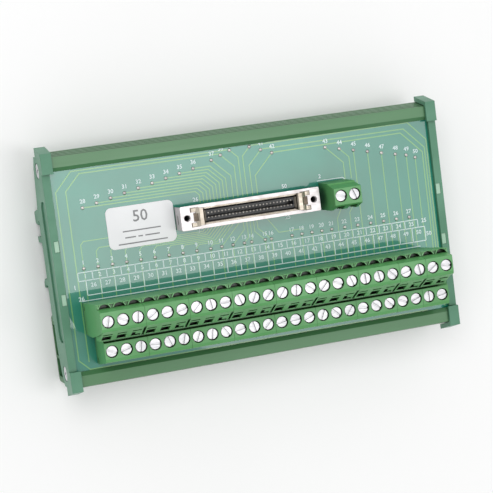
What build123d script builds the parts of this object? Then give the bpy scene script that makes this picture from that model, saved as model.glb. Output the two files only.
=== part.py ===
from build123d import *
import os

# DIN-rail terminal breakout module: a board in an extruded carrier, with end caps that clip on a
# 35 mm rail, a 50-way half-pitch receptacle, a 2-way terminal and nine double-deck terminal blocks.
# Millimetres. X runs along the rail, +Y away from the terminals, +Z out of the board.
# The origin is under the middle of the module, in the plane of the rail claws' tips.

os.makedirs("parts", exist_ok=True)

# ---- driving dimensions ----
SEAT_Z = 6.8  # plane that the rail's front flanges touch
RAIL_WIDTH = 35.0
RAIL_FLANGE = 1.0
BOARD_TOP = 22.0
BOARD_THICK = 1.6
BOARD_LENGTH = 142.0
BOARD_WIDTH = 74.4

PROFILE_LENGTH = 142.2
PROFILE_BACK = 10.5
PROFILE_WALL = 1.8
RAIL_FACE_Z = 24.0  # front faces of the two side walls
FLARE_Z = 15.8  # where the side walls are widest
SCREW_ROW_Y = 35.3  # end cap screws
SCREW_ROW_Z = 16.5

CAP_INNER_X = 71.2
CAP_OUTER_X = 72.85
SLEEVE_INNER_X = 69.0
STRAP_INNER_X = 70.1
SLEEVE_TOP = 25.2
STRAP_TOP = 23.6
FOOT_INNER_X = 61.85
STRAP_WINDOW_SPACING = 18.4

PITCH = 5.08
BLOCK_POLES = (3, 3, 3, 3, 3, 3, 3, 2, 2)
BLOCK_GAP = 0.06
UPPER_FACE, UPPER_ROW_Y = 48.8, -15.56
LOWER_FACE, LOWER_ROW_Y = 36.5, -27.35
LOWER_SHIFT = PITCH / 2
ROW_START = -(sum(BLOCK_POLES) - 1) * PITCH / 2 - LOWER_SHIFT / 2

SCREW_HEAD_R = 1.82
SCREW_WELL_R = 2.15
SCREW_R = 1.5
THREAD_CLEARANCE = 0.05
HEAD_TOP = 0.6  # below the housing's face
HEAD_THICK = 1.4
SLOT_WIDTH, SLOT_DEPTH = 0.7, 0.55
BAR_TOP = 4.9  # contact bar's upper side, below the housing's face
BAR_THICK = 0.7
CAGE_TOP, CAGE_BOTTOM = 3.8, 8.8  # open clamp, below the housing's face
CAGE_X, CAGE_Y = 4.0, 4.2
PIN_OFFSET = 2.75  # from the screw's axis to the middle of the solder pin

CONN_X, CONN_Y = -2.55, 12.65
FLANGE_TOP = 29.5
FLANGE_X, FLANGE_Y, FLANGE_THICK = 51.2, 8.4, 0.5
JACK_SPACING = 46.6
CAVITY_X, CAVITY_Y = 36.0, 6.0
CONTACT_PITCH = 1.27
CONTACTS_PER_ROW = 25
TAIL_ROW = 3.4  # between the two rows of solder tails
BLADE_ROW = 1.7  # between the two rows of contact blades
TONGUE_SLOT = 1.3

AUX_X, AUX_ROW_Y, AUX_FACE = 30.9, 13.0, 37.0

LABEL_X, LABEL_Y = -40.5, 12.3
LABEL_SIZE = (24.2, 14.5)


def save(builder, node):
    """Label a finished piece and write it."""
    builder.part.label = node
    export_step(builder.part, f"parts/{node}.step")


def pole_xs(block, row_shift=0.0):
    """X of each pole of a block, counted along the rows from the -X end."""
    first = sum(BLOCK_POLES[:block])
    return [ROW_START + (first + i) * PITCH + row_shift for i in range(BLOCK_POLES[block])]


def slot_angle(index):
    """Turning angle of a clamp screw's slot: each screw stands as it was last left."""
    return (index * 67 + index * index * 13 + 75) % 180


# ---- extruded carrier ----
with BuildPart() as base_profile:
    with BuildSketch(Plane.YZ.offset(-PROFILE_LENGTH / 2)) as carrier_section:
        with BuildLine():
            Polyline(
                (0, PROFILE_BACK),
                (26, PROFILE_BACK),
                (36, 11.7),
                (39.3, 13.2),
                (39.3, 15.2),
                (41.3, FLARE_Z),
                (39.6, RAIL_FACE_Z),
                (35.9, RAIL_FACE_Z),
                (34.6, BOARD_TOP + 0.5),
                (34.6, BOARD_TOP + 0.05),
                (37.5, BOARD_TOP + 0.05),
                (37.5, BOARD_TOP - BOARD_THICK - 0.05),
                (35.6, BOARD_TOP - BOARD_THICK - 0.05),
                (35.6, 19.2),
                (37.6, 18.9),
                (37.6, 15.0),
                (35.6, 13.5),
                (26, PROFILE_BACK + PROFILE_WALL),
                (0, PROFILE_BACK + PROFILE_WALL),
                close=True,
            )
        make_face()
        with Locations((SCREW_ROW_Y, SCREW_ROW_Z)):
            Circle(2.5)
            Circle(1.3, mode=Mode.SUBTRACT)
        with Locations((SCREW_ROW_Y - 2.2, SCREW_ROW_Z)):
            Rectangle(2.4, 1.2, mode=Mode.SUBTRACT)
        # ribbed flank: grooves run the whole length
        flank_lean = (41.3 - 39.6) / (RAIL_FACE_Z - FLARE_Z)
        for groove_z in (17.4, 19.3, 21.2, 23.0):
            with Locations((41.3 - (groove_z - FLARE_Z) * flank_lean, groove_z)):
                Rectangle(0.7, 0.8, rotation=12, mode=Mode.SUBTRACT)
        mirror(about=Plane.YZ)
    extrude(amount=PROFILE_LENGTH)
save(base_profile, "base_profile")


# ---- end caps ----
with BuildPart() as end_cap_right:
    # outer plate that closes the carrier's end
    with BuildSketch(Plane.YZ.offset(CAP_INNER_X)):
        with BuildLine():
            Polyline(
                (0, STRAP_TOP),
                (34.0, STRAP_TOP),
                (34.0, SLEEVE_TOP),
                (41.1, SLEEVE_TOP),
                (43.3, 15.7),
                (40.2, 15.7),
                (40.2, 12.8),
                (35.7, 10.2),
                (28.7, 8.6),
                (21.8, SEAT_Z),
                (0, SEAT_Z),
                close=True,
            )
        make_face()
        mirror(about=Plane.YZ)
    extrude(amount=CAP_OUTER_X - CAP_INNER_X)
    # corner sleeves over the ends of both side walls
    with BuildSketch(Plane.YZ.offset(SLEEVE_INNER_X)):
        with BuildLine():
            Polyline(
                (34.0, RAIL_FACE_Z + 0.1),
                (34.0, SLEEVE_TOP),
                (41.1, SLEEVE_TOP),
                (43.3, 15.7),
                (41.5, 15.7),
                (39.8, RAIL_FACE_Z + 0.1),
                close=True,
            )
        make_face()
        mirror(about=Plane.YZ)
    extrude(amount=CAP_INNER_X - SLEEVE_INNER_X)
    # strap over the board's end
    with BuildSketch(Plane.XY.offset(BOARD_TOP + 0.1)):
        with Locations(((STRAP_INNER_X + CAP_INNER_X) / 2, 0)):
            Rectangle(CAP_INNER_X - STRAP_INNER_X, 68.0)
    extrude(amount=STRAP_TOP - BOARD_TOP - 0.1)
    # two shallow windows in the strap
    with Locations((CAP_INNER_X - 0.15, 0, STRAP_TOP)):
        with GridLocations(1, STRAP_WINDOW_SPACING, 1, 2):
            Box(1.7, 3.9, 1.0, mode=Mode.SUBTRACT)
    # foot that reaches under the carrier, with the fixed rail claw and the two smaller claws
    with BuildSketch(Plane.YZ.offset(FOOT_INNER_X)):
        with BuildLine():
            Polyline(
                (21.8, PROFILE_BACK - 0.1),
                (21.8, SEAT_Z),
                (20.8, 0.4),
                (20.2, 0),
                (17.0, 0),
                (16.3, 2.6),
                (16.3, SEAT_Z - RAIL_FLANGE - 0.2),
                (RAIL_WIDTH / 2 + 0.2, SEAT_Z - RAIL_FLANGE - 0.2),
                (RAIL_WIDTH / 2 + 0.2, SEAT_Z),
                (12.0, SEAT_Z),
                (12.0, 0.6),
                (9.9, 0.6),
                (9.9, SEAT_Z),
                (-3.0, SEAT_Z),
                (-3.0, 2.4),
                (-4.4, 0.6),
                (-6.2, 0.6),
                (-6.2, 3.0),
                (-5.2, 3.6),
                (-5.2, SEAT_Z),
                (-17.6, SEAT_Z),
                (-17.6, 8.2),
                (-39.0, 8.2),
                (-39.0, PROFILE_BACK - 0.1),
                close=True,
            )
        make_face()
    extrude(amount=CAP_INNER_X - FOOT_INNER_X)
    # claws and latch guide continue to the outer face
    with BuildSketch(Plane.YZ.offset(CAP_INNER_X)):
        with BuildLine():
            Polyline(
                (21.8, SEAT_Z),
                (20.8, 0.4),
                (20.2, 0),
                (17.0, 0),
                (16.3, 2.6),
                (16.3, SEAT_Z - RAIL_FLANGE - 0.2),
                (RAIL_WIDTH / 2 + 0.2, SEAT_Z - RAIL_FLANGE - 0.2),
                (RAIL_WIDTH / 2 + 0.2, SEAT_Z),
                close=True,
            )
        make_face()
        with Locations((10.95, (SEAT_Z + 0.6) / 2)):
            Rectangle(2.1, SEAT_Z - 0.6)
        with BuildLine():
            Polyline(
                (-3.0, SEAT_Z),
                (-3.0, 2.4),
                (-4.4, 0.6),
                (-6.2, 0.6),
                (-6.2, 3.0),
                (-5.2, 3.6),
                (-5.2, SEAT_Z),
                close=True,
            )
        make_face()
    extrude(amount=CAP_OUTER_X - CAP_INNER_X)
    # room for the latch's edge under the plate
    with BuildSketch(Plane.YZ.offset(CAP_INNER_X - 0.1)):
        with Locations((-29.3, 7.2)):
            Rectangle(23.4, 2.0)
    extrude(amount=CAP_OUTER_X - CAP_INNER_X + 0.2, mode=Mode.SUBTRACT)
    # guide for the latch: a slot for its neck under a wider channel for its wings
    with BuildSketch(Plane.XY.offset(8.1)):
        with Locations((67.5, -30.6)):
            Rectangle(2.4, 15.2)
    extrude(amount=3.0, mode=Mode.SUBTRACT)
    with BuildSketch(Plane.XY.offset(9.2)):
        with Locations((67.5, -30.6)):
            Rectangle(4.4, 15.2)
    extrude(amount=2.0, mode=Mode.SUBTRACT)
    # recessed panel in the outer face
    with BuildSketch(Plane.YZ.offset(CAP_OUTER_X - 0.6)):
        with Locations((0.3, 18.4)):
            RectangleRounded(49.0, 7.6, 3.0)
    extrude(amount=1.0, mode=Mode.SUBTRACT)
    # screw recesses and holes
    with BuildSketch(Plane.YZ.offset(CAP_OUTER_X - 1.0)):
        with Locations((SCREW_ROW_Y, SCREW_ROW_Z), (-SCREW_ROW_Y, SCREW_ROW_Z)):
            Circle(2.8)
    extrude(amount=1.2, mode=Mode.SUBTRACT)
    with BuildSketch(Plane.YZ.offset(CAP_INNER_X - 0.1)):
        with Locations((SCREW_ROW_Y, SCREW_ROW_Z), (-SCREW_ROW_Y, SCREW_ROW_Z)):
            Circle(1.65)
    extrude(amount=1.0, mode=Mode.SUBTRACT)
save(end_cap_right, "end_cap_right")

with BuildPart() as end_cap_left:
    mirror(end_cap_right.part, about=Plane.YZ)
save(end_cap_left, "end_cap_left")


# ---- rail latches: pushed towards -Y by a screwdriver to free the rail ----
with BuildPart() as din_latch_right:
    with BuildSketch(Plane.YZ.offset(63.0)):
        with BuildLine():
            Polyline(
                (-40.0, 8.0),
                (-40.0, 1.2),
                (-39.0, 0.2),
                (-17.4, 0.2),
                (-16.3, 2.2),
                (-16.3, SEAT_Z - RAIL_FLANGE - 0.2),
                (-17.8, SEAT_Z - RAIL_FLANGE - 0.2),
                (-17.8, 8.0),
                close=True,
            )
        make_face()
    extrude(amount=9.2)
    with BuildSketch(Plane.XY.offset(8.0)):
        with Locations((67.5, -29.0)):
            Rectangle(2.0, 11.2)
    extrude(amount=1.4)
    with BuildSketch(Plane.XY.offset(9.4)):
        with Locations((67.5, -29.0)):
            Rectangle(4.0, 11.2)
    extrude(amount=0.8)
    # screwdriver slot, and two hollows with a rib between them in the outer side
    with BuildSketch(Plane.XY.offset(0.0)):
        with Locations((67.2, -37.3)):
            Rectangle(4.6, 2.2)
    extrude(amount=9.0, mode=Mode.SUBTRACT)
    with BuildSketch(Plane.YZ.offset(71.4)):
        with Locations((-34.75, 4.3)):
            Rectangle(6.5, 6.0)
        with Locations((-25.0, 4.3)):
            Rectangle(11.0, 6.0)
    extrude(amount=1.0, mode=Mode.SUBTRACT)
save(din_latch_right, "din_latch_right")

with BuildPart() as din_latch_left:
    mirror(din_latch_right.part, about=Plane.YZ)
save(din_latch_left, "din_latch_left")


# ---- end cap screws: one group of four ----
with BuildPart() as end_cap_screws:
    for side in (-1, 1):
        for row in (-1, 1):
            head_plane = Plane(
                origin=(side * (CAP_OUTER_X - 0.1), row * SCREW_ROW_Y, SCREW_ROW_Z),
                x_dir=(0, 1, 0),
                z_dir=(side, 0, 0),
            )
            with BuildSketch(head_plane):
                Circle(2.5)
            extrude(amount=-0.9)
            with BuildSketch(head_plane.offset(-0.85)):
                Circle(1.28)
            extrude(amount=-9.0)
            with BuildSketch(head_plane.offset(0.1)):
                Rectangle(2.6, 0.6, rotation=25)
                Rectangle(0.6, 2.6, rotation=25)
            extrude(amount=-0.8, mode=Mode.SUBTRACT)
save(end_cap_screws, "end_cap_screws")


# ---- circuit board ----
with BuildPart() as pcb:
    with BuildSketch(Plane.XY.offset(BOARD_TOP - BOARD_THICK)):
        Rectangle(BOARD_LENGTH, BOARD_WIDTH)
        for row_y, shift in ((UPPER_ROW_Y, 0.0), (LOWER_ROW_Y, LOWER_SHIFT)):
            middle_x = ROW_START + (sum(BLOCK_POLES) - 1) * PITCH / 2 + shift
            with Locations((middle_x, row_y + PIN_OFFSET)):
                with GridLocations(PITCH, 1, sum(BLOCK_POLES), 1):
                    Circle(0.7, mode=Mode.SUBTRACT)
        with Locations((AUX_X, AUX_ROW_Y + PIN_OFFSET)):
            with GridLocations(PITCH, 1, 2, 1):
                Circle(0.7, mode=Mode.SUBTRACT)
        with Locations((CONN_X, CONN_Y)):
            with GridLocations(CONTACT_PITCH, TAIL_ROW, CONTACTS_PER_ROW, 2):
                Circle(0.4, mode=Mode.SUBTRACT)
    extrude(amount=BOARD_THICK)
save(pcb, "pcb")


# ---- solder test points: runs of (first x, first y, step x, step y, count) ----
TEST_POINT_R = 0.65
TEST_POINT_RUNS = (
    (-62.5, 0.3, PITCH, 0.0, 10),
    (-12.7, 0.4, 4.2, 0.0, 3),
    (-1.6, 0.4, 5.1, 0.0, 2),
    (5.8, 0.4, 7.8, 0.0, 2),
    (17.4, 0.4, 3.8, 0.0, 4),
    (33.8, 0.4, 5.05, 0.0, 6),
    (-60.1, 21.0, PITCH, 1.0, 9),
    (-12.5, 31.0, 3.5, 1.3, 3),
    (1.9, 33.8, 4.0, -1.6, 3),
    (30.0, 29.8, 5.3, -1.2, 6),
    (60.7, 22.9, 3.4, -1.3, 2),
)
with BuildPart() as test_points:
    for first_x, first_y, step_x, step_y, count in TEST_POINT_RUNS:
        for i in range(count):
            with Locations((first_x + i * step_x, first_y + i * step_y, BOARD_TOP)):
                Cylinder(TEST_POINT_R, 0.4, align=(Align.CENTER, Align.CENTER, Align.MIN))
save(test_points, "test_points")


# ---- receptacle ----
with BuildPart() as connector_shell:
    # flange with the cavity's mouth and two jack screw holes
    with BuildSketch(Plane.XY.offset(FLANGE_TOP - FLANGE_THICK)):
        with Locations((CONN_X, CONN_Y)):
            RectangleRounded(FLANGE_X, FLANGE_Y, 0.5)
            RectangleRounded(CAVITY_X, CAVITY_Y, 1.2, mode=Mode.SUBTRACT)
            with GridLocations(JACK_SPACING, 1, 2, 1):
                Circle(1.2, mode=Mode.SUBTRACT)
    extrude(amount=FLANGE_THICK)
    # collar round the cavity
    with BuildSketch(Plane.XY.offset(BOARD_TOP + 1.2)):
        with Locations((CONN_X, CONN_Y)):
            RectangleRounded(CAVITY_X + 0.6, CAVITY_Y + 0.6, 1.5)
            RectangleRounded(CAVITY_X, CAVITY_Y, 1.2, mode=Mode.SUBTRACT)
    extrude(amount=FLANGE_TOP - FLANGE_THICK - BOARD_TOP - 1.2)
    # folded ends that stand on the board
    with BuildSketch(Plane.XY.offset(BOARD_TOP + 0.02)):
        with Locations((CONN_X, CONN_Y)):
            with GridLocations(FLANGE_X - 0.5, 1, 2, 1):
                Rectangle(0.5, FLANGE_Y - 0.4)
    extrude(amount=FLANGE_TOP - FLANGE_THICK - BOARD_TOP - 0.02)
    # spring slot in each folded end
    with Locations((CONN_X, CONN_Y - 0.6, BOARD_TOP + 3.6)):
        with GridLocations(FLANGE_X - 0.5, 1, 2, 1):
            Box(0.8, 3.0, 0.9, mode=Mode.SUBTRACT)
save(connector_shell, "connector_shell")

with BuildPart() as connector_insulator:
    with BuildSketch(Plane.XY.offset(BOARD_TOP + 0.02)):
        with Locations((CONN_X, CONN_Y)):
            RectangleRounded(CAVITY_X - 0.1, CAVITY_Y - 0.1, 1.15)
    extrude(amount=2.0)
    # raised body with a slot for the plug's tongue
    with BuildSketch(Plane.XY.offset(BOARD_TOP + 2.0)):
        with Locations((CONN_X, CONN_Y)):
            Rectangle(33.6, 3.7)
    extrude(amount=4.4)
    with BuildSketch(Plane.XY.offset(BOARD_TOP + 2.8)):
        with Locations((CONN_X, CONN_Y)):
            Rectangle(31.9, TONGUE_SLOT)
    extrude(amount=6.0, mode=Mode.SUBTRACT)
    # a groove for each contact, open at the top and to the slot
    with BuildSketch(Plane.XY.offset(BOARD_TOP)):
        with Locations((CONN_X, CONN_Y)):
            with GridLocations(CONTACT_PITCH, BLADE_ROW, CONTACTS_PER_ROW, 2):
                Rectangle(0.56, 0.66)
    extrude(amount=7.0, mode=Mode.SUBTRACT)
    with BuildSketch(Plane.XY.offset(BOARD_TOP)):
        with Locations((CONN_X, CONN_Y)):
            with GridLocations(CONTACT_PITCH, TAIL_ROW, CONTACTS_PER_ROW, 2):
                Rectangle(0.56, 1.4)
    extrude(amount=0.8, mode=Mode.SUBTRACT)
save(connector_insulator, "connector_insulator")


def contact_row(side):
    """One row of 25 contacts: blade beside the tongue slot, foot on the board, tail through it."""
    blade_y = CONN_Y + side * BLADE_ROW / 2
    tail_y = CONN_Y + side * TAIL_ROW / 2
    with BuildPart() as row:
        with BuildSketch(Plane.XY.offset(BOARD_TOP + 0.1)):
            with Locations((CONN_X, blade_y)):
                with GridLocations(CONTACT_PITCH, 1, CONTACTS_PER_ROW, 1):
                    Rectangle(0.5, 0.5)
        extrude(amount=6.0)
        with BuildSketch(Plane.XY.offset(BOARD_TOP + 0.1)):
            with Locations((CONN_X, (blade_y + tail_y) / 2)):
                with GridLocations(CONTACT_PITCH, 1, CONTACTS_PER_ROW, 1):
                    Rectangle(0.5, (TAIL_ROW - BLADE_ROW) / 2 + 0.4)
        extrude(amount=0.5)
        with BuildSketch(Plane.XY.offset(BOARD_TOP - BOARD_THICK - 1.2)):
            with Locations((CONN_X, tail_y)):
                with GridLocations(CONTACT_PITCH, 1, CONTACTS_PER_ROW, 1):
                    Rectangle(0.4, 0.4)
        extrude(amount=BOARD_THICK + 1.3)
    return row


save(contact_row(1), "connector_contacts_upper")
save(contact_row(-1), "connector_contacts_lower")

with BuildPart() as connector_jack_nuts:
    with BuildSketch(Plane.XY.offset(24.5)):
        with Locations((CONN_X, CONN_Y)):
            with GridLocations(JACK_SPACING, 1, 2, 1):
                RegularPolygon(1.95, 6, rotation=30)
                Circle(1.05, mode=Mode.SUBTRACT)
    extrude(amount=FLANGE_TOP - FLANGE_THICK - 24.5)
save(connector_jack_nuts, "connector_jack_nuts")

with BuildPart() as connector_latch_brackets:
    # folded plates beside the cavity that the plug's spring latches snap under
    for side in (-1, 1):
        bracket_x = CONN_X + side * (CAVITY_X / 2 + 1.7)
        with BuildSketch(Plane.XY.offset(FLANGE_TOP)):
            with Locations((bracket_x, CONN_Y)):
                Rectangle(3.8, 7.0)
            with Locations((bracket_x + side * 1.6, CONN_Y)):
                Rectangle(2.0, 3.4, mode=Mode.SUBTRACT)
        extrude(amount=0.5)
        with BuildSketch(Plane.XY.offset(FLANGE_TOP - 1.2)):
            with Locations((CONN_X + side * (CAVITY_X / 2 - 0.3), CONN_Y)):
                Rectangle(0.5, 4.4)
        extrude(amount=1.7)
        with BuildSketch(Plane.XY.offset(FLANGE_TOP)):
            with Locations((CONN_X + side * (CAVITY_X / 2 - 0.2), CONN_Y)):
                Rectangle(0.7, 4.4)
        extrude(amount=0.9)
save(connector_latch_brackets, "connector_latch_brackets")


# ---- screw clamps, shared by every terminal ----
def clamp_screws(places):
    """Slotted clamp screws; each place is (x, y, housing face z, slot angle)."""
    with BuildPart() as screws:
        for x, y, face, angle in places:
            with BuildSketch(Plane.XY.offset(face - HEAD_TOP - HEAD_THICK)):
                with Locations((x, y)):
                    Circle(SCREW_HEAD_R)
            extrude(amount=HEAD_THICK)
            with BuildSketch(Plane.XY.offset(face - HEAD_TOP - SLOT_DEPTH)):
                with Locations((x, y)):
                    Rectangle(4.4, SLOT_WIDTH, rotation=angle)
            extrude(amount=1.0, mode=Mode.SUBTRACT)
            with BuildSketch(Plane.XY.offset(face - BAR_TOP + 0.05)):
                with Locations((x, y)):
                    Circle(SCREW_R)
            extrude(amount=BAR_TOP - HEAD_TOP - HEAD_THICK - 0.05)
    return screws


def wire_clamps(places):
    """Rising cages, drawn open; each place is (x, y, housing face z)."""
    with BuildPart() as cages:
        for x, y, face in places:
            with BuildSketch(Plane.XY.offset(face - CAGE_BOTTOM)):
                with Locations((x, y)):
                    RectangleRounded(CAGE_X, CAGE_Y, 0.3)
            extrude(amount=CAGE_BOTTOM - CAGE_TOP)
            with BuildSketch(Plane.XZ.offset(-y - CAGE_Y)):
                with Locations((x, face - CAGE_BOTTOM + 2.4)):
                    Rectangle(3.0, 3.2)
            extrude(amount=2 * CAGE_Y, mode=Mode.SUBTRACT)
            with BuildSketch(Plane.XY.offset(face - CAGE_TOP - 1.2)):
                with Locations((x, y)):
                    Circle(SCREW_R + THREAD_CLEARANCE)
            extrude(amount=1.4, mode=Mode.SUBTRACT)
    return cages


def terminal_pins(places):
    """Contact bars with their solder pins; each place is (x, y, housing face z)."""
    with BuildPart() as pins:
        for x, y, face in places:
            with BuildSketch(Plane.XY.offset(face - BAR_TOP - BAR_THICK)):
                with Locations((x, y + 0.5)):
                    Rectangle(2.6, 5.2)
            extrude(amount=BAR_THICK)
            with BuildSketch(Plane.XY.offset(BOARD_TOP + 1.8)):
                with Locations((x, y + PIN_OFFSET)):
                    Rectangle(2.0, BAR_THICK)
            extrude(amount=face - BAR_TOP - BOARD_TOP - 1.8)
            with BuildSketch(Plane.XY.offset(BOARD_TOP - BOARD_THICK - 1.4)):
                with Locations((x, y + PIN_OFFSET)):
                    Rectangle(1.0, BAR_THICK)
            extrude(amount=BOARD_THICK + 3.3)
    return pins


def cut_pole(x, y, face, entry_far_y):
    """Cut one pole's screw well, cage cavity, pin slot and wire entry, from the cage to entry_far_y."""
    top_up = (Align.CENTER, Align.CENTER, Align.MIN)
    with Locations((x, y, face - 2.1)):
        Cylinder(SCREW_WELL_R, 3.0, align=top_up, mode=Mode.SUBTRACT)
    with Locations((x, y, face - CAGE_BOTTOM - 0.2)):
        Box(CAGE_X + 0.2, CAGE_Y + 0.4, CAGE_BOTTOM - 1.7, align=top_up, mode=Mode.SUBTRACT)
    with Locations((x, y + PIN_OFFSET, BOARD_TOP - 1.0)):
        Box(2.8, 1.1, face - BAR_TOP + 1.1 - BOARD_TOP, align=top_up, mode=Mode.SUBTRACT)
    with Locations((x, (y - 2.0 + entry_far_y) / 2, face - 7.9)):
        Box(3.2, y - 2.0 - entry_far_y, 4.6, align=top_up, mode=Mode.SUBTRACT)


BROW_WINDOW_Y = -20.5  # where the upper wire entry meets its window
BROW_WINDOW_Z = (40.3, 43.9)
WINDOW_WIDTH = 3.2


def cut_brow_window(x, with_tab):
    """Cut one upper wire window and the sump behind its lip; a block's last window keeps a corner tab."""
    low, high = BROW_WINDOW_Z
    top_up = (Align.CENTER, Align.MAX, Align.MIN)
    if with_tab:
        with Locations((x, BROW_WINDOW_Y, low)):
            Box(WINDOW_WIDTH, 3.5, 1.8, align=top_up, mode=Mode.SUBTRACT)
        with Locations((x - 0.95, BROW_WINDOW_Y, low)):
            Box(WINDOW_WIDTH - 1.9, 3.5, high - low, align=top_up, mode=Mode.SUBTRACT)
    else:
        with Locations((x, BROW_WINDOW_Y, low)):
            Box(WINDOW_WIDTH, 3.5, high - low, align=top_up, mode=Mode.SUBTRACT)
    with Locations((x, BROW_WINDOW_Y + 0.5, low - 3.4)):
        Box(WINDOW_WIDTH, 2.5, 3.6, align=top_up, mode=Mode.SUBTRACT)


def terminal_housing(block):
    """Double-deck housing: the lower deck stands half a pitch further along X than the upper."""
    upper_xs = pole_xs(block)
    lower_xs = pole_xs(block, LOWER_SHIFT)
    width = BLOCK_POLES[block] * PITCH - BLOCK_GAP
    upper_left = upper_xs[0] - PITCH / 2 + BLOCK_GAP / 2
    lower_left = lower_xs[0] - PITCH / 2 + BLOCK_GAP / 2
    with BuildPart() as housing:
        with BuildSketch(Plane.YZ.offset(upper_left)):
            with BuildLine():
                Polyline(
                    (-11.3, BOARD_TOP),
                    (-9.9, 45.2),
                    (-11.5, 45.2),
                    (-12.3, UPPER_FACE),
                    (-17.9, UPPER_FACE),
                    (-18.9, 48.4),
                    (-19.2, 47.6),
                    (-20.9, 40.4),
                    (-22.3, 31.7),
                    (-22.3, BOARD_TOP),
                    close=True,
                )
            make_face()
        extrude(amount=width)
        # sloping brow that carries the upper wire entries
        with BuildSketch(Plane.YZ.offset(upper_left + 0.4)):
            with BuildLine():
                Polyline(
                    (-18.0, 47.4),
                    (-19.2, 47.4),
                    (-22.9, 40.2),
                    (-22.9, 35.75),
                    (-18.0, 35.75),
                    close=True,
                )
            make_face()
        extrude(amount=width - 0.8)
        with BuildSketch(Plane.YZ.offset(lower_left)):
            with BuildLine():
                Polyline(
                    (-22.36, BOARD_TOP),
                    (-22.36, 35.6),
                    (-23.8, 35.6),
                    (-24.3, LOWER_FACE),
                    (-29.9, LOWER_FACE),
                    (-30.9, 36.1),
                    (-31.2, 35.3),
                    (-32.6, 26.0),
                    (-32.8, BOARD_TOP),
                    close=True,
                )
            make_face()
        extrude(amount=width)
        # web that ties the two decks together where they stand behind each other
        web_width = upper_left + width - lower_left
        with Locations((lower_left + web_width / 2, -22.33, BOARD_TOP + 4.6)):
            Box(web_width, 0.26, 9.2)
        for x in upper_xs:
            cut_pole(x, UPPER_ROW_Y, UPPER_FACE, BROW_WINDOW_Y)
            cut_brow_window(x, with_tab=x == upper_xs[-1])
        for x in lower_xs:
            cut_pole(x, LOWER_ROW_Y, LOWER_FACE, -34.0)
        # small moulding notches low in the end faces
        for end_x, notch_y in ((upper_left, -13.0), (lower_left, -31.2)):
            with Locations((end_x, notch_y, BOARD_TOP + 2.4), (end_x + width, notch_y, BOARD_TOP + 2.4)):
                Box(1.2, 1.5, 0.9, mode=Mode.SUBTRACT)
        # arched marking pockets along the ledge behind the upper face
        for x in upper_xs:
            with BuildSketch(Plane.XY.offset(42.8)):
                with BuildLine():
                    ThreePointArc((x - 2.05, -11.45), (x, -10.05), (x + 2.05, -11.45))
                    Line((x + 2.05, -11.45), (x - 2.05, -11.45))
                make_face()
            extrude(amount=3.0, mode=Mode.SUBTRACT)
        # shallow recess in the rib left between two pockets
        for x in upper_xs[:-1]:
            with BuildSketch(Plane.XY.offset(44.9)):
                with BuildLine():
                    Polyline(
                        (x + PITCH / 2 - 0.2, -11.4),
                        (x + PITCH / 2 + 0.2, -11.4),
                        (x + PITCH / 2 + 0.8, -10.3),
                        (x + PITCH / 2 - 0.8, -10.3),
                        close=True,
                    )
                make_face()
            extrude(amount=3.0, mode=Mode.SUBTRACT)
    return housing


for block in range(len(BLOCK_POLES)):
    save(terminal_housing(block), f"terminal_block_{block + 1}")


def block_places(block, deck):
    """(x, y, face) of one deck's poles in one block."""
    if deck == "upper":
        return [(x, UPPER_ROW_Y, UPPER_FACE) for x in pole_xs(block)]
    return [(x, LOWER_ROW_Y, LOWER_FACE) for x in pole_xs(block, LOWER_SHIFT)]


def slotted(places, first_index):
    """Add each screw's slot angle to its place."""
    return [(x, y, face, slot_angle(first_index + i)) for i, (x, y, face) in enumerate(places)]


# block 1 carries its screws and cages one by one; the other blocks carry them in groups
for deck, first_index in (("upper", 0), ("lower", 40)):
    places = block_places(0, deck)
    for pole, place in enumerate(places):
        save(clamp_screws(slotted([place], first_index + pole)), f"{deck}_screw_{pole + 1}")
        save(wire_clamps([place]), f"{deck}_wire_clamp_{pole + 1}")

other_blocks = range(1, len(BLOCK_POLES))
for deck, first_index in (("upper", 0), ("lower", 40)):
    rest = []
    for block in other_blocks:
        rest += block_places(block, deck)
    save(clamp_screws(slotted(rest, first_index + BLOCK_POLES[0])), f"{deck}_screws_other_blocks")
    save(wire_clamps(rest), f"{deck}_wire_clamps_other_blocks")
    save(terminal_pins(block_places(0, deck) + rest), f"{deck}_terminal_pins")


# ---- 2-way terminal beside the receptacle ----
aux_places = [(AUX_X - PITCH / 2, AUX_ROW_Y, AUX_FACE), (AUX_X + PITCH / 2, AUX_ROW_Y, AUX_FACE)]
with BuildPart() as aux_terminal_housing:
    with BuildSketch(Plane.YZ.offset(AUX_X - PITCH)):
        with BuildLine():
            Polyline(
                (17.6, BOARD_TOP),
                (17.4, 31.4),
                (16.9, 31.8),
                (15.7, AUX_FACE),
                (9.85, AUX_FACE),
                (9.3, 36.2),
                (9.0, BOARD_TOP),
                close=True,
            )
        make_face()
    extrude(amount=2 * PITCH)
    # ribs between the wire entries
    for rib_x, rib_width in ((-PITCH + 0.6, 1.2), (0, 2.0), (PITCH - 0.6, 1.2)):
        with BuildSketch(Plane.YZ.offset(AUX_X + rib_x - rib_width / 2)):
            with BuildLine():
                Polyline(
                    (9.2, BOARD_TOP),
                    (7.9, BOARD_TOP),
                    (7.9, 32.0),
                    (9.2, 35.8),
                    close=True,
                )
            make_face()
        extrude(amount=rib_width)
    # sill under the wire entries
    with Locations((AUX_X, 8.7, (BOARD_TOP + 28.9) / 2)):
        Box(2 * PITCH - 1.2, 1.2, 28.9 - BOARD_TOP)
    for place_x, place_y, place_face in aux_places:
        cut_pole(place_x, place_y, place_face, 6.0)
save(aux_terminal_housing, "aux_terminal_housing")

for pole, place in enumerate(aux_places):
    save(clamp_screws(slotted([place], 71 + pole)), f"aux_screw_{pole + 1}")
    save(wire_clamps([place]), f"aux_wire_clamp_{pole + 1}")
save(terminal_pins(aux_places), "aux_terminal_pins")


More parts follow.
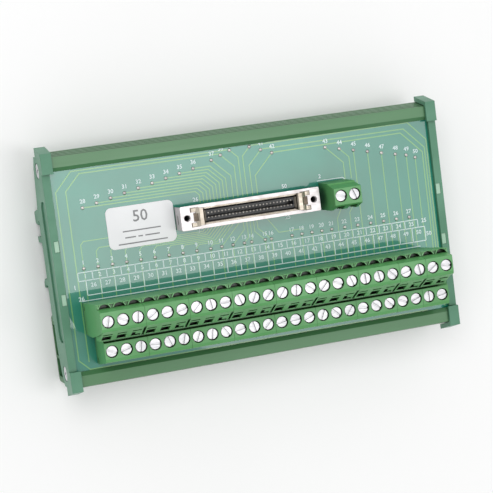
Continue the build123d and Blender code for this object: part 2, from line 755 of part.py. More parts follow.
# ---- blank label ----
with BuildPart() as label_plate:
    with BuildSketch(Plane.XY.offset(BOARD_TOP + 0.02)):
        with Locations((LABEL_X, LABEL_Y)):
            RectangleRounded(LABEL_SIZE[0], LABEL_SIZE[1], 2.0)
    extrude(amount=0.15)
save(label_plate, "label_plate")
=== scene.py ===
import math

import bmesh
import bpy
from mathutils import Matrix, Vector


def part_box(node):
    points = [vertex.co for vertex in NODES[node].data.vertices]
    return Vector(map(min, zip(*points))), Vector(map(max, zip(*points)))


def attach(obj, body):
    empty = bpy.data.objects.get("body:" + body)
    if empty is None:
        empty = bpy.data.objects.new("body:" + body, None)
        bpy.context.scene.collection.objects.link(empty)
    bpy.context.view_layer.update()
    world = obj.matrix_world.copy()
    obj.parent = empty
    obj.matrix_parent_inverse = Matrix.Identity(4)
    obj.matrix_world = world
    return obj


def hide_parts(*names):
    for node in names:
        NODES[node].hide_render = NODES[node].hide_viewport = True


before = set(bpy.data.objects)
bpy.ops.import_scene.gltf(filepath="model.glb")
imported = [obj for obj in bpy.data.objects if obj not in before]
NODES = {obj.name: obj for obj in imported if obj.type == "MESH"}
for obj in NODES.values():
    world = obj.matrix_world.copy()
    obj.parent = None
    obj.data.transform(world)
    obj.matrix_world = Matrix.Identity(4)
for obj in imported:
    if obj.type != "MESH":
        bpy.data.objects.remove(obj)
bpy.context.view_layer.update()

# DIN-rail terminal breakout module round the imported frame. Metres, +Z out of the board.
BODY = "module"
MM = 0.001

BOARD_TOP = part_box("pcb")[1].z
BOARD_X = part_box("pcb")[1].x
PITCH = 5.08 * MM
POLES = 25


# ---------------------------------------------------------------- material helpers
PIT_SHADE = (0.08, 0.13, 0.05)


def start_material(name):
    """Empty principled material: returns it with its node tree and shader."""
    material = bpy.data.materials.new(name)
    material.use_nodes = True
    tree = material.node_tree
    shader = tree.nodes["Principled BSDF"]
    return material, tree, shader


def object_coords(tree, stretch=(1.0, 1.0, 1.0)):
    """Object coordinates, stretched along the axes."""
    coords = tree.nodes.new("ShaderNodeTexCoord")
    mapping = tree.nodes.new("ShaderNodeMapping")
    mapping.inputs["Scale"].default_value = stretch
    tree.links.new(coords.outputs["Object"], mapping.inputs["Vector"])
    return mapping.outputs["Vector"]


def noise(tree, vector, scale, detail=3.0, roughness=0.55):
    """Noise value at a scale given in features per metre."""
    node = tree.nodes.new("ShaderNodeTexNoise")
    node.inputs["Scale"].default_value = scale
    node.inputs["Detail"].default_value = detail
    node.inputs["Roughness"].default_value = roughness
    tree.links.new(vector, node.inputs["Vector"])
    return node.outputs["Fac"]


def ramp(tree, value, stops):
    """Colour ramp; stops are (position, (r, g, b))."""
    node = tree.nodes.new("ShaderNodeValToRGB")
    elements = node.color_ramp.elements
    while len(elements) < len(stops):
        elements.new(0.5)
    for element, (position, colour) in zip(elements, stops):
        element.position = position
        element.color = (*colour, 1.0)
    tree.links.new(value, node.inputs["Fac"])
    return node.outputs["Color"]


def remap(tree, value, low, high, from_low=0.3, from_high=0.7):
    """Value stretched to low..high."""
    node = tree.nodes.new("ShaderNodeMapRange")
    node.inputs["From Min"].default_value = from_low
    node.inputs["From Max"].default_value = from_high
    node.inputs["To Min"].default_value = low
    node.inputs["To Max"].default_value = high
    tree.links.new(value, node.inputs["Value"])
    return node.outputs["Result"]


def multiply(tree, colour, shade, amount=1.0):
    """Colour darkened by a shade colour."""
    node = tree.nodes.new("ShaderNodeMix")
    node.data_type = "RGBA"
    node.blend_type = "MULTIPLY"
    node.inputs["Factor"].default_value = amount
    tree.links.new(colour, node.inputs["A"])
    tree.links.new(shade, node.inputs["B"])
    return node.outputs["Result"]


def crevice_shade(tree, distance, dark, start=0.15, end=0.75):
    """Shade that falls to the colour dark in corners and slots nearer than distance."""
    node = tree.nodes.new("ShaderNodeAmbientOcclusion")
    node.samples = 4
    node.inputs["Distance"].default_value = distance
    return ramp(tree, node.outputs["AO"], ((start, dark), (end, (1.0,) * 3)))


def soft_edges(tree, shader, radius, height=None, depth=0.0):
    """Rounded edges, with a fine bump over them."""
    bevel = tree.nodes.new("ShaderNodeBevel")
    bevel.samples = 4
    bevel.inputs["Radius"].default_value = radius
    if height is None:
        tree.links.new(bevel.outputs["Normal"], shader.inputs["Normal"])
        return
    bump = tree.nodes.new("ShaderNodeBump")
    bump.inputs["Strength"].default_value = 1.0
    bump.inputs["Distance"].default_value = depth
    tree.links.new(height, bump.inputs["Height"])
    tree.links.new(bevel.outputs["Normal"], bump.inputs["Normal"])
    tree.links.new(bump.outputs["Normal"], shader.inputs["Normal"])


def moulded(name, light, dark, rough, stretch=(1.0, 1.0, 1.0), edge=0.15 * MM, crease_shade=0.45,
            pits=False):
    """Moulded or extruded plastic: cloudy colour, fine grain, soft edges, and painted shade darkening creases and
    pits.
    """
    material, tree, shader = start_material(name)
    vector = object_coords(tree, stretch)
    cloud = noise(tree, vector, 70.0, 4.0)
    grain = noise(tree, vector, 2600.0, 2.0)
    colour = ramp(tree, cloud, ((0.32, dark), (0.68, light)))
    # Painted shade: colour darkened towards the crease value where corners lie within 2.2 mm.
    colour = multiply(tree, colour, crevice_shade(tree, 2.2 * MM, (crease_shade,) * 3))
    # Painted deep shade: slots, windows and pockets within 5 mm fall towards PIT_SHADE.
    if pits:
        colour = multiply(tree, colour, crevice_shade(tree, 5.0 * MM, PIT_SHADE, 0.34, 0.60))
    tree.links.new(colour, shader.inputs["Base Color"])
    tree.links.new(remap(tree, cloud, rough + 0.07, rough - 0.05), shader.inputs["Roughness"])
    soft_edges(tree, shader, edge, grain, 0.012 * MM)
    return material


def plated(name, light, dark, rough, edge=0.08 * MM, scratch=(1.0, 9.0, 9.0), crease_shade=0.35):
    """Plated metal with faint drawn lines and duller patches."""
    material, tree, shader = start_material(name)
    vector = object_coords(tree, scratch)
    lines = noise(tree, vector, 420.0, 5.0)
    patches = noise(tree, object_coords(tree), 240.0, 3.0)
    colour = ramp(tree, patches, ((0.3, dark), (0.62, light)))
    # Painted shade: colour darkened towards the crease value in corners within 1.2 mm.
    colour = multiply(tree, colour, crevice_shade(tree, 1.2 * MM, (crease_shade,) * 3))
    tree.links.new(colour, shader.inputs["Base Color"])
    tree.links.new(remap(tree, lines, rough - 0.05, rough + 0.1), shader.inputs["Roughness"])
    shader.inputs["Metallic"].default_value = 1.0
    soft_edges(tree, shader, edge, lines, 0.004 * MM)
    return material


def lacquered(name, light, dark, rough=0.30, cloud_scale=22.0):
    """Solder mask and what lies under it: a coloured layer under a clear gloss."""
    material, tree, shader = start_material(name)
    vector = object_coords(tree)
    cloud = noise(tree, vector, cloud_scale, 4.0)
    weave = noise(tree, object_coords(tree, (1.0, 6.0, 1.0)), 900.0, 2.0)
    colour = ramp(tree, cloud, ((0.3, dark), (0.7, light)))
    tree.links.new(colour, shader.inputs["Base Color"])
    tree.links.new(remap(tree, weave, rough, rough + 0.06), shader.inputs["Roughness"])
    shader.inputs["Coat Weight"].default_value = 1.0
    shader.inputs["Coat Roughness"].default_value = 0.025
    soft_edges(tree, shader, 0.02 * MM, weave, 0.0015 * MM)
    return material


# ---------------------------------------------------------------- materials
CARRIER = moulded("carrier_green", (0.095, 0.240, 0.110), (0.062, 0.185, 0.072), 0.32, (0.06, 1.0, 1.0), crease_shade=0.3)
CAP = moulded("end_cap_green", (0.100, 0.270, 0.170), (0.075, 0.225, 0.135), 0.42)
PAD = moulded("strap_pad_green", (0.360, 0.560, 0.420), (0.300, 0.500, 0.360), 0.30, crease_shade=0.8)
# Darker green than the end caps: painted shade on the latch's recessed outer side.
LATCH = moulded("latch_green", (0.060, 0.190, 0.075), (0.040, 0.150, 0.055), 0.45)
# pits=True paints deep shade into the terminals' wire windows and marking pockets.
HOUSING = moulded("terminal_green", (0.105, 0.345, 0.115), (0.085, 0.300, 0.090), 0.34, pits=True)
BOARD = lacquered("board_mask", (0.008, 0.262, 0.180), (0.003, 0.185, 0.122))
TRACE = lacquered("trace_under_mask", (0.170, 0.440, 0.140), (0.130, 0.380, 0.110))
LEGEND = moulded("legend_ink", (0.74, 0.86, 0.86), (0.64, 0.78, 0.79), 0.30, crease_shade=1.0, edge=0.01 * MM)
# Lighter copy of the terminal green: painted highlight on the edges of the ribs.
RIB_HIGHLIGHT = moulded("rib_highlight_green", (0.210, 0.500, 0.220), (0.170, 0.440, 0.180), 0.32, crease_shade=0.9)
SCREW = plated("screw_plating", (0.74, 0.73, 0.75), (0.60, 0.60, 0.62), 0.42, crease_shade=0.8)
CLAMP = plated("clamp_plating", (0.62, 0.62, 0.60), (0.50, 0.50, 0.49), 0.38)
NICKEL = plated("connector_nickel", (0.58, 0.55, 0.56), (0.44, 0.41, 0.40), 0.34, crease_shade=0.2)
# Warmer, darker copy of the nickel for the folded plates and inner lips: their cream-brown tint, darkened as
# painted shade, with near-black painted shade in the folds.
SHADED_WARM_NICKEL = plated("latch_nickel", (0.52, 0.47, 0.40), (0.32, 0.27, 0.21), 0.34, crease_shade=0.08)
INK = moulded("label_ink", (0.26, 0.26, 0.27), (0.20, 0.20, 0.21), 0.5, crease_shade=1.0, edge=0.01 * MM)
# Dark brown for flat sheets that stand for the shade in the flange's windows.
WELL_SHADE = plated("well_shadow", (0.16, 0.13, 0.10), (0.07, 0.055, 0.045), 0.40, crease_shade=0.1)
# Dark steel for the jack nuts' bores: painted shade deep inside them.
SHADED_THREAD = plated("shaded_thread_steel", (0.20, 0.20, 0.20), (0.10, 0.10, 0.10), 0.30, crease_shade=0.1)
INSULATOR = moulded("insulator_black", (0.020, 0.020, 0.022), (0.012, 0.012, 0.013), 0.38)
# Dull and darker than bright tin: painted shade of the receptacle's holes on the contacts.
CONTACT = plated("contact_tin", (0.36, 0.34, 0.31), (0.24, 0.22, 0.20), 0.34)
SOLDER = plated("solder", (0.70, 0.66, 0.64), (0.50, 0.46, 0.45), 0.34, scratch=(1.0, 1.0, 1.0))
LABEL = moulded("label_film", (0.86, 0.86, 0.88), (0.82, 0.82, 0.84), 0.40, crease_shade=0.95)


def finish_for(node):
    """Material of a CAD node."""
    if node == "base_profile":
        return CARRIER
    if node in ("end_cap_left", "end_cap_right"):
        return CAP
    if node.startswith("din_latch"):
        return LATCH
    if node.startswith("terminal_block") or node == "aux_terminal_housing":
        return HOUSING
    if node == "pcb":
        return BOARD
    if node == "connector_insulator":
        return INSULATOR
    if node.startswith("connector_contacts") or node.endswith("pins"):
        return CONTACT
    if node.startswith("connector"):
        return NICKEL
    if "screw" in node:
        return SCREW
    if "wire_clamp" in node:
        return CLAMP
    if node == "test_points":
        return SOLDER
    return LABEL


for node_name, cad_object in NODES.items():
    cad_object.data.materials.clear()
    cad_object.data.materials.append(finish_for(node_name))


# ---------------------------------------------------------------- mesh helpers
def add_piece(name, mesh, material):
    """Link a mesh as a piece that rides on the module."""
    mesh.materials.clear()
    mesh.materials.append(material)
    piece = bpy.data.objects.new(name, mesh)
    bpy.context.scene.collection.objects.link(piece)
    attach(piece, BODY)
    return piece


def shells(node):
    """(lowest corner, highest corner) of each separate solid of a CAD node."""
    work = bmesh.new()
    work.from_mesh(NODES[node].data)
    bmesh.ops.remove_doubles(work, verts=work.verts, dist=1e-6)
    left = set(work.verts)
    found = []
    while left:
        stack = [left.pop()]
        group = []
        while stack:
            vert = stack.pop()
            group.append(vert.co.copy())
            for edge in vert.link_edges:
                other = edge.other_vert(vert)
                if other in left:
                    left.remove(other)
                    stack.append(other)
        low = Vector([min(co[i] for co in group) for i in range(3)])
        high = Vector([max(co[i] for co in group) for i in range(3)])
        found.append((low, high))
    work.free()
    return sorted(found, key=lambda box: (round(box[0].y, 5), box[0].x))


def ribbon(work, points, width, low, high):
    """Closed flat strip along a polyline in the board's plane, mitred at its corners."""
    track = [Vector(point) for point in points]
    normals = []
    for a, b in zip(track, track[1:]):
        along = (b - a).normalized()
        normals.append(Vector((-along.y, along.x)))
    sides = []
    for i, point in enumerate(track):
        before = normals[max(i - 1, 0)]
        after = normals[min(i, len(normals) - 1)]
        mitre = (before + after).normalized()
        reach = width / 2 / max(mitre.dot(after), 0.4)
        sides.append((point + mitre * reach, point - mitre * reach))
    rings = []
    for left, right in sides:
        corners = ((left, low), (right, low), (right, high), (left, high))
        rings.append([work.verts.new((p.x, p.y, z)) for p, z in corners])
    for ring, after in zip(rings, rings[1:]):
        for i in range(4):
            j = (i + 1) % 4
            work.faces.new((ring[i], ring[j], after[j], after[i]))
    work.faces.new(rings[0][::-1])
    work.faces.new(rings[-1])


def ribbons(name, lines, width, material, lift=0.03 * MM):
    """One piece of strips on the board; lines are in millimetres."""
    work = bmesh.new()
    for line in lines:
        scaled = [(x * MM, y * MM) for x, y in line]
        ribbon(work, scaled, width, BOARD_TOP, BOARD_TOP + lift)
    bmesh.ops.recalc_face_normals(work, faces=work.faces)
    mesh = bpy.data.meshes.new(name)
    work.to_mesh(mesh)
    work.free()
    return add_piece(name, mesh, material)


# ---------------------------------------------------------------- traces
test_points = [((low + high) / 2) / MM for low, high in shells("test_points")]
lower_points = [p for p in test_points if p.y < 5]
upper_points = [p for p in test_points if p.y > 5]
upper_points.sort(key=lambda p: p.x)
lower_points.sort(key=lambda p: p.x)
conn_low, conn_high = (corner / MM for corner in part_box("connector_shell"))
conn_mid = (conn_low + conn_high) / 2
aux_low, aux_high = (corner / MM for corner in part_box("aux_terminal_housing"))
ROW_BACK = -11.2


def upper_traces():
    """Traces from the upper test points to the receptacle and to the terminals."""
    lines = []
    # nine that run along X, turn at 45 degrees and go into the receptacle
    for i, point in enumerate(upper_points[:9]):
        column = -18.4 + 1.27 * i
        cut = 1.4 + 0.45 * i
        lines.append([(point.x, point.y), (column - cut, point.y), (column, point.y - cut), (column, conn_high.y)])
    # six that slant down to it from both sides
    for point, column in zip(upper_points[9:15], (-6.2, -4.5, -2.7, -1.0, 1.0, 2.8)):
        drop = abs(column - point.x)
        lines.append([(point.x, point.y), (column, point.y - drop), (column, conn_high.y)])
    # the first two on the right go to the 2-way terminal, the others straight to the rows
    for point, column in zip(upper_points[15:17], (36.2, 38.6)):
        drop = abs(column - point.x)
        lines.append([(point.x, point.y), (column, point.y - drop), (column, aux_high.y)])
    for point in upper_points[17:]:
        lines.append([(point.x, point.y), (point.x, 1.0), (point.x + 0.4, ROW_BACK)])
    return lines


def border_traces():
    """Long traces round the board's edge."""
    lines = [
        [(-5.5, 33.8), (-62.5, 33.9), (-68.6, 27.4), (-68.6, -30.8), (-65.0, -34.4), (62.0, -34.4)],
        [(-9.0, 32.8), (-59.7, 32.8), (-65.1, 27.3), (-65.1, -31.8)],
        [(1.9, 34.2), (62.5, 34.5), (69.1, 27.6), (69.1, -34.0)],
        [(5.9, 32.4), (60.7, 32.4), (68.1, 24.8), (68.1, -33.0)],
        [(9.9, 30.7), (59.4, 31.1), (67.1, 23.3), (67.1, -32.0)],
    ]
    return lines


def lower_traces():
    """Fan from the receptacle to the lower test points, and on to the terminals."""
    lines = []
    top = conn_low.y + 0.6
    for i, point in enumerate(lower_points[:10]):
        # down from the receptacle at 45 degrees, along X, and a short slant to the test point
        column = conn_mid.x - 15.2 + 1.27 * i
        level = 9.6 if i == 0 else 1.8 + 0.62 * (9 - i)
        corner = column - max(top - level, 0.0)
        chamfer = 1.1
        line = [(corner, level), (point.x + chamfer, level), (point.x, level - chamfer), (point.x, point.y)]
        if i > 0:
            line.insert(0, (column, top))
        lines.append(line)
    for i, point in enumerate(lower_points[10:16]):
        column = conn_mid.x - 2.5 + 1.27 * i
        drop = abs(column - point.x)
        lines.append([(column, top), (column, point.y + drop + 0.05), (point.x, point.y)])
    for point in lower_points:
        lines.append([(point.x, point.y), (point.x, ROW_BACK)])
    lines.append([(conn_mid.x + 6.8, top), (8.9, 2.3), (18.0, 2.3)])
    lines.append([(aux_low.x + 8.0, aux_low.y + 0.3), (31.4, 3.9), (31.4, ROW_BACK)])
    lines.append([(aux_low.x + 12.4, aux_low.y + 0.3), (36.4, 5.4), (36.4, ROW_BACK)])
    return lines


ribbons("board_traces_upper", upper_traces(), 0.36 * MM, TRACE)
ribbons("board_traces_border", border_traces(), 0.40 * MM, TRACE)
ribbons("board_traces_lower", lower_traces(), 0.32 * MM, TRACE, lift=0.025 * MM)


# ---------------------------------------------------------------- legend
LEGEND_LIFT = 0.05 * MM
STROKE_WEIGHT = 0.045 * MM  # added to each side of a figure's strokes
table_left = -64.9
row_tops = (-0.9, -3.8, -8.95)


def legend_lines():
    """Two rows of cells over the terminals, their block outline and the small terminal's outline."""
    step = PITCH / MM
    lines = [
        [(table_left, row_tops[0]), (table_left + POLES * step, row_tops[0])],
        [(table_left, row_tops[1]), (table_left + (POLES + 0.5) * step, row_tops[1])],
        [(table_left + step / 2, row_tops[2]), (table_left + (POLES + 0.5) * step, row_tops[2])],
        [(-64.6, -10.75), (62.2, -10.75)],
    ]
    for i in range(POLES + 1):
        x = table_left + i * step
        lines.append([(x, row_tops[0]), (x, row_tops[1])])
        lines.append([(x + step / 2, row_tops[1]), (x + step / 2, row_tops[2])])
    left, right = aux_low.x - 0.4, aux_high.x + 0.5
    lines.append([(left, 18.3), (right - 1.2, 18.3), (right, 17.1), (right, 8.0)])
    return lines


def numbers(name, entries, size, ink=LEGEND, level=BOARD_TOP + LEGEND_LIFT):
    """Flat figures on a level surface; entries are (text, x, y) in millimetres."""
    work = bmesh.new()
    for text, x, y in entries:
        curve = bpy.data.curves.new(name, "FONT")
        curve.body = text
        curve.size = size
        curve.align_x = "CENTER"
        curve.align_y = "CENTER"
        curve.resolution_u = 2
        curve.extrude = LEGEND_LIFT / 4
        curve.offset = STROKE_WEIGHT
        holder = bpy.data.objects.new(name, curve)
        bpy.context.scene.collection.objects.link(holder)
        holder.location = (x * MM, y * MM, level)
        bpy.context.view_layer.update()
        mesh = bpy.data.meshes.new_from_object(holder)
        mesh.transform(holder.matrix_world)
        work.from_mesh(mesh)
        bpy.data.objects.remove(holder)
        bpy.data.meshes.remove(mesh)
        bpy.data.curves.remove(curve)
    mesh = bpy.data.meshes.new(name)
    work.to_mesh(mesh)
    work.free()
    return add_piece(name, mesh, ink)


def cell_numbers():
    """Terminal numbers in both rows of cells and beside their ends."""
    step = PITCH / MM
    entries = []
    for i in range(POLES):
        x = table_left + (i + 0.5) * step
        entries.append((str(i + 1), x, (row_tops[0] + row_tops[1]) / 2))
        entries.append((str(i + 1 + POLES), x + step / 2, -5.6))
    entries.append(("1", table_left - 1.6, -5.8))
    entries.append(("26", table_left + 0.2, -10.0))
    entries.append(("25", 64.6, -1.6))
    entries.append(("50", 66.0, -6.6))
    return entries


def point_numbers():
    """A number over each test point and at the receptacle's corners."""
    entries = []
    for i, point in enumerate(lower_points):
        entries.append((str(i + 1), point.x, point.y + 2.1))
    for i, point in enumerate(upper_points):
        entries.append((str(len(lower_points) + i + 1), point.x + 0.3, point.y + 2.2))
    entries.append(("1", conn_mid.x - 17.5, conn_low.y - 1.3))
    entries.append(("25", conn_mid.x + 15.5, conn_low.y - 1.3))
    entries.append(("26", conn_mid.x - 17.5, conn_high.y + 1.3))
    entries.append(("50", conn_mid.x + 15.5, conn_high.y + 1.3))
    entries.append(("2", aux_low.x + 0.8, aux_high.y + 2.2))
    return entries


ribbons("board_legend_lines", legend_lines(), 0.30 * MM, LEGEND, lift=LEGEND_LIFT)
numbers("board_legend_cells", cell_numbers(), 2.1 * MM)
numbers("board_legend_points", point_numbers(), 2.0 * MM)


def label_marks():
    """Plain bars in three rows, and the pole count, on the label."""
    low, high = (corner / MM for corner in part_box("label_plate"))
    middle = (low + high) / 2
    work = bmesh.new()
    rows = (
        (1.5, ((-6.8, 6.8),)),
        (3.7, ((-6.2, -2.4), (-1.5, 0.1), (1.0, 6.2))),
        (5.8, ((-8.8, 8.8),)),
    )
    for drop, words in rows:
        y = (middle.y - drop) * MM
        for start, end in words:
            ends = ((middle.x + start) * MM, y), ((middle.x + end) * MM, y)
            ribbon(work, ends, 0.42 * MM, high.z * MM, (high.z + 0.03) * MM)
    bmesh.ops.recalc_face_normals(work, faces=work.faces)
    mesh = bpy.data.meshes.new("label_bars")
    work.to_mesh(mesh)
    work.free()
    add_piece("label_bars", mesh, INK)
    numbers("label_count", [("50", middle.x, middle.y + 3.2)], 5.6 * MM, INK, (high.z + 0.02) * MM)


label_marks()


# ---------------------------------------------------------------- terminal ribs
LEDGE_TOP = 45.2  # height of the marking ledge behind the upper row's faces


def rib_lips():
    """Raised lips either side of the ribs between the marking pockets of the upper row, coloured lighter as a
    painted highlight.
    """
    work = bmesh.new()
    for block in range(1, 10):
        low, high = (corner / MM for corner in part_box(f"terminal_block_{block}"))
        poles = round((high.x - low.x) * MM / PITCH - 0.5)
        for i in range(1, poles):
            middle = low.x + i * PITCH / MM
            for side in (-1, 1):
                ends = ((middle + side * 0.36) * MM, -11.4 * MM), ((middle + side * 1.12) * MM, -10.15 * MM)
                ribbon(work, ends, 0.26 * MM, (LEDGE_TOP - 0.1) * MM, (LEDGE_TOP + 0.3) * MM)
        for middle, side in ((low.x, 1), (low.x + poles * PITCH / MM, -1)):
            for near, far in ((0.36, 1.12), (0.22, 0.5)):
                ends = ((middle + side * near) * MM, -11.4 * MM), ((middle + side * far) * MM, -10.15 * MM)
                ribbon(work, ends, 0.24 * MM, (LEDGE_TOP - 0.1) * MM, (LEDGE_TOP + 0.3) * MM)
    bmesh.ops.recalc_face_normals(work, faces=work.faces)
    mesh = bpy.data.meshes.new("rib_lips")
    work.to_mesh(mesh)
    work.free()
    add_piece("rib_lips", mesh, RIB_HIGHLIGHT)


rib_lips()


# ---------------------------------------------------------------- solder domes
def solder_domes():
    """Low domes on the test points, in place of the plain discs."""
    work = bmesh.new()
    for low, high in shells("test_points"):
        centre = (low + high) / 2
        place = Matrix.Translation((centre.x, centre.y, low.z)) @ Matrix.Diagonal((1.0, 1.0, 0.62, 1.0))
        ball = bmesh.ops.create_uvsphere(
            work, u_segments=20, v_segments=12, radius=(high.x - low.x) / 2, matrix=place
        )
        below = [v for v in ball["verts"] if v.co.z < low.z - 1e-7]
        bmesh.ops.delete(work, geom=below, context="VERTS")
        rim = [e for e in work.edges if e.is_boundary]
        bmesh.ops.edgeloop_fill(work, edges=rim)
    mesh = bpy.data.meshes.new("solder_domes")
    work.to_mesh(mesh)
    work.free()
    for face in mesh.polygons:
        face.use_smooth = len(face.vertices) <= 4
    piece = add_piece("solder_domes", mesh, SOLDER)
    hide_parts("test_points")
    return piece


solder_domes()


# ---------------------------------------------------------------- receptacle details
def folded_strip(work, profile, side, near_y, far_y, thickness):
    """Bent sheet: profile points are (distance out along X, z), swept along Y."""
    track = [Vector(point) for point in profile]
    rings = []
    for i, point in enumerate(track):
        before = (track[i] - track[max(i - 1, 0)]) if i else track[1] - track[0]
        after = (track[min(i + 1, len(track) - 1)] - track[i]) if i < len(track) - 1 else before
        along = (before.normalized() + after.normalized()).normalized()
        out = Vector((-along.y, along.x)) * thickness / 2
        ring = []
        for corner, y in ((point + out, near_y), (point - out, near_y), (point - out, far_y), (point + out, far_y)):
            ring.append(work.verts.new(((conn_mid.x + side * corner.x) * MM, (conn_mid.y + y) * MM, corner.y * MM)))
        rings.append(ring)
    for ring, after in zip(rings, rings[1:]):
        for i in range(4):
            j = (i + 1) % 4
            work.faces.new((ring[i], ring[j], after[j], after[i]))
    work.faces.new(rings[0][::-1])
    work.faces.new(rings[-1])


def latch_folds():
    """Folded spring plates at both ends of the cavity, in place of the plain brackets."""
    work = bmesh.new()
    top = conn_high.z
    sheet = 0.24
    wall = [(17.2, top - 1.6), (17.25, top + 0.1), (17.6, top + 0.55), (18.9, top + 0.60)]
    slope = [(18.8, top + 0.60), (19.5, top + 0.42), (20.1, top + 0.16)]
    toe = [(20.0, top + 0.16), (20.8, top + 0.24), (21.7, top + 0.14)]
    for side in (-1, 1):
        folded_strip(work, wall, side, -3.0, 3.0, sheet)
        for row in (-1, 1):
            folded_strip(work, slope, side, row * 1.3, row * 3.3, sheet)
            folded_strip(work, toe, side, row * 1.9, row * 3.2, sheet)
        folded_strip(work, [(18.8, top + 0.46), (19.3, top + 0.12)], side, -1.3, 1.3, sheet)
        folded_strip(work, [(16.75, top - 2.6), (16.35, top - 0.9), (16.8, top - 0.2)], side, -1.9, 1.9, sheet)
    bmesh.ops.recalc_face_normals(work, faces=work.faces)
    mesh = bpy.data.meshes.new("latch_folds")
    work.to_mesh(mesh)
    work.free()
    piece = add_piece("latch_folds", mesh, SHADED_WARM_NICKEL)
    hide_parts("connector_latch_brackets")


def latch_well_shadows():
    """Thin dark sheets on the flange between each plate's two toes: painted shade where the flange has windows."""
    top = conn_high.z
    work = bmesh.new()
    for side in (-1, 1):
        folded_strip(work, [(19.3, top + 0.03), (20.0, top + 0.03), (21.0, top + 0.03)], side, -1.5, 1.5, 0.04)
        for row in (-1, 1):
            folded_strip(work, [(20.0, top + 0.03), (22.0, top + 0.03)], side, row * 1.8, row * 3.4, 0.04)
    bmesh.ops.recalc_face_normals(work, faces=work.faces)
    mesh = bpy.data.meshes.new("latch_well_shadows")
    work.to_mesh(mesh)
    work.free()
    add_piece("latch_well_shadows", mesh, WELL_SHADE)


latch_well_shadows()
latch_folds()


def ring_prism(work, centre, size, wall, low, high):
    """Closed rectangular ring: outer size (x, y), wall thickness, between two heights, in millimetres."""
    rings = []
    for inset, z in ((0.0, high), (wall, high), (wall, low), (0.0, low)):
        half_x = size[0] / 2 - inset
        half_y = size[1] / 2 - inset
        corners = ((-half_x, -half_y), (half_x, -half_y), (half_x, half_y), (-half_x, half_y))
        rings.append([work.verts.new(((centre.x + x) * MM, (centre.y + y) * MM, z * MM)) for x, y in corners])
    for i, ring in enumerate(rings):
        after = rings[(i + 1) % 4]
        for k in range(4):
            m = (k + 1) % 4
            work.faces.new((ring[k], ring[m], after[m], after[k]))


def cavity_lips():
    """Two stepped lips of drawn sheet just inside the receptacle's mouth."""
    work = bmesh.new()
    ring_prism(work, conn_mid, (35.9, 5.9), 0.30, conn_high.z - 0.75, conn_high.z - 0.30)
    ring_prism(work, conn_mid, (35.3, 5.3), 0.25, conn_high.z - 1.10, conn_high.z - 0.85)
    bmesh.ops.recalc_face_normals(work, faces=work.faces)
    mesh = bpy.data.meshes.new("cavity_lips")
    work.to_mesh(mesh)
    work.free()
    add_piece("cavity_lips", mesh, SHADED_WARM_NICKEL)


cavity_lips()


def jack_threads():
    """Thread ridges inside the two jack nuts, over a closed end, both dark as painted shade of the deep bore."""
    nuts = sorted(shells("connector_jack_nuts"), key=lambda box: box[0].x)
    work = bmesh.new()
    segments = 24
    for low, high in nuts:
        centre = (low + high) / 2
        profile = [(0.0, low.z + 0.3 * MM), (0.98 * MM, low.z + 0.3 * MM)]
        turns = 7
        step = (high.z - low.z - 0.5 * MM) / turns
        for i in range(turns):
            z = low.z + 0.35 * MM + i * step
            profile += [(0.98 * MM, z + step * 0.2), (0.80 * MM, z + step * 0.55), (0.98 * MM, z + step * 0.9)]
        profile += [(1.03 * MM, high.z - 0.12 * MM), (1.03 * MM, low.z + 0.2 * MM), (0.0, low.z + 0.2 * MM)]
        rings = []
        for radius, z in profile:
            if radius == 0.0:
                rings.append([work.verts.new((centre.x, centre.y, z))])
                continue
            ring = []
            for k in range(segments):
                angle = 2 * math.pi * k / segments
                ring.append(work.verts.new((centre.x + radius * math.cos(angle), centre.y + radius * math.sin(angle), z)))
            rings.append(ring)
        for ring, after in zip(rings, rings[1:]):
            for k in range(segments):
                m = (k + 1) % segments
                if len(ring) == 1:
                    work.faces.new((ring[0], after[k], after[m]))
                elif len(after) == 1:
                    work.faces.new((ring[k], ring[m], after[0]))
                else:
                    work.faces.new((ring[k], ring[m], after[m], after[k]))
    bmesh.ops.recalc_face_normals(work, faces=work.faces)
    mesh = bpy.data.meshes.new("jack_threads")
    work.to_mesh(mesh)
    work.free()
    add_piece("jack_threads", mesh, SHADED_THREAD)


jack_threads()


def strap_pads():
    """Pale moulded pads in the four shallow windows of the end caps' straps."""
    pad_top = 23.55
    work = bmesh.new()
    for side in (-1, 1):
        for row in (-1, 1):
            centre = Vector((side * 71.05, row * 9.2, pad_top - 0.2))
            place = Matrix.Translation(centre * MM) @ Matrix.Diagonal((1.64 * MM, 3.84 * MM, 0.4 * MM, 1.0))
            bmesh.ops.create_cube(work, size=1.0, matrix=place)
    mesh = bpy.data.meshes.new("strap_pads")
    work.to_mesh(mesh)
    work.free()
    piece = add_piece("strap_pads", mesh, PAD)
    rounding = piece.modifiers.new("rounding", "BEVEL")
    rounding.width = 0.12 * MM
    rounding.segments = 2


strap_pads()


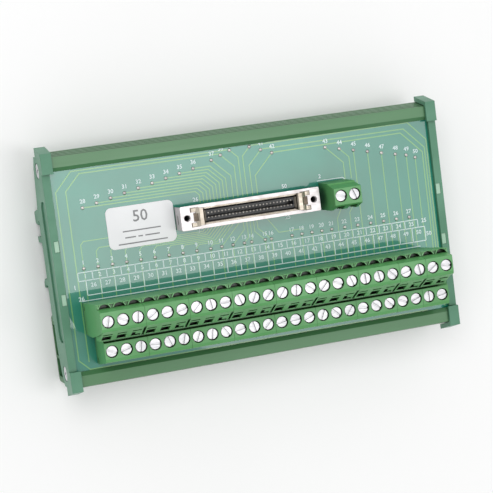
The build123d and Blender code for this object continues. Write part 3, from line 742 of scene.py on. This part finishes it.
# ---------------------------------------------------------------- stage
def floor():
    """Pale floor in the plane that the module lies on."""
    material, tree, shader = start_material("floor_paper")
    cloud = noise(tree, object_coords(tree), 6.0)
    tree.links.new(ramp(tree, cloud, ((0.3, (0.95,) * 3), (0.7, (0.97,) * 3))), shader.inputs["Base Color"])
    shader.inputs["Roughness"].default_value = 0.85
    shader.inputs["Specular IOR Level"].default_value = 0.1
    half = 4.0
    corners = [(-half, -half, 0.0), (half, -half, 0.0), (half, half, 0.0), (-half, half, 0.0)]
    mesh = bpy.data.meshes.new("floor")
    mesh.from_pydata(corners, [], [(0, 1, 2, 3)])
    mesh.materials.append(material)
    piece = bpy.data.objects.new("floor", mesh)
    bpy.context.scene.collection.objects.link(piece)


def softbox(name, place, turn, width, height, radiance):
    """Level rectangular area light, turned about Z by turn degrees, dimmer towards its +X end."""
    light = bpy.data.lights.new(name, "AREA")
    light.use_nodes = True
    tree = light.node_tree
    place_on_light = tree.nodes.new("ShaderNodeNewGeometry")
    axes = tree.nodes.new("ShaderNodeSeparateXYZ")
    tree.links.new(place_on_light.outputs["Parametric"], axes.inputs["Vector"])
    strength = remap(tree, axes.outputs["X"], 1.10, 0.62, 0.25, 0.85)
    tree.links.new(strength, tree.nodes["Emission"].inputs["Strength"])
    light.shape = "RECTANGLE"
    light.size = width
    light.size_y = height
    light.energy = radiance * math.pi * width * height
    holder = bpy.data.objects.new(name, light)
    holder.location = place
    holder.rotation_euler.z = math.radians(turn)
    bpy.context.scene.collection.objects.link(holder)


def studio():
    """White surroundings, and a softbox that the board mirrors to the camera."""
    world = bpy.data.worlds.new("studio")
    world.use_nodes = True
    background = world.node_tree.nodes["Background"]
    background.inputs["Color"].default_value = (1.0, 1.0, 1.0, 1.0)
    background.inputs["Strength"].default_value = 0.74
    bpy.context.scene.world = world
    softbox("key_softbox", (0.30, -0.07, 0.98), -18.0, 0.60, 0.27, 3.7)
    softbox("fill_softbox", (-0.40, 0.50, 1.15), 0.0, 0.70, 0.60, 3.2)


def camera():
    """Long lens over the module, from its upper left."""
    data = bpy.data.cameras.new("camera")
    data.sensor_width = 36.0
    data.lens = 121.735
    data.clip_start = 0.01
    data.clip_end = 20.0
    holder = bpy.data.objects.new("camera", data)
    right = Vector((0.944678, -0.126192, 0.302753))
    up = Vector((0.150189, 0.986999, -0.057240))
    back = Vector((-0.291593, 0.099543, 0.951349))
    turn = Matrix((right, up, back)).transposed().to_4x4()
    holder.matrix_world = Matrix.Translation((-0.175167, 0.057633, 0.581369)) @ turn
    bpy.context.scene.collection.objects.link(holder)
    bpy.context.scene.camera = holder


floor()
studio()
camera()
bpy.context.scene.view_settings.view_transform = "Standard"
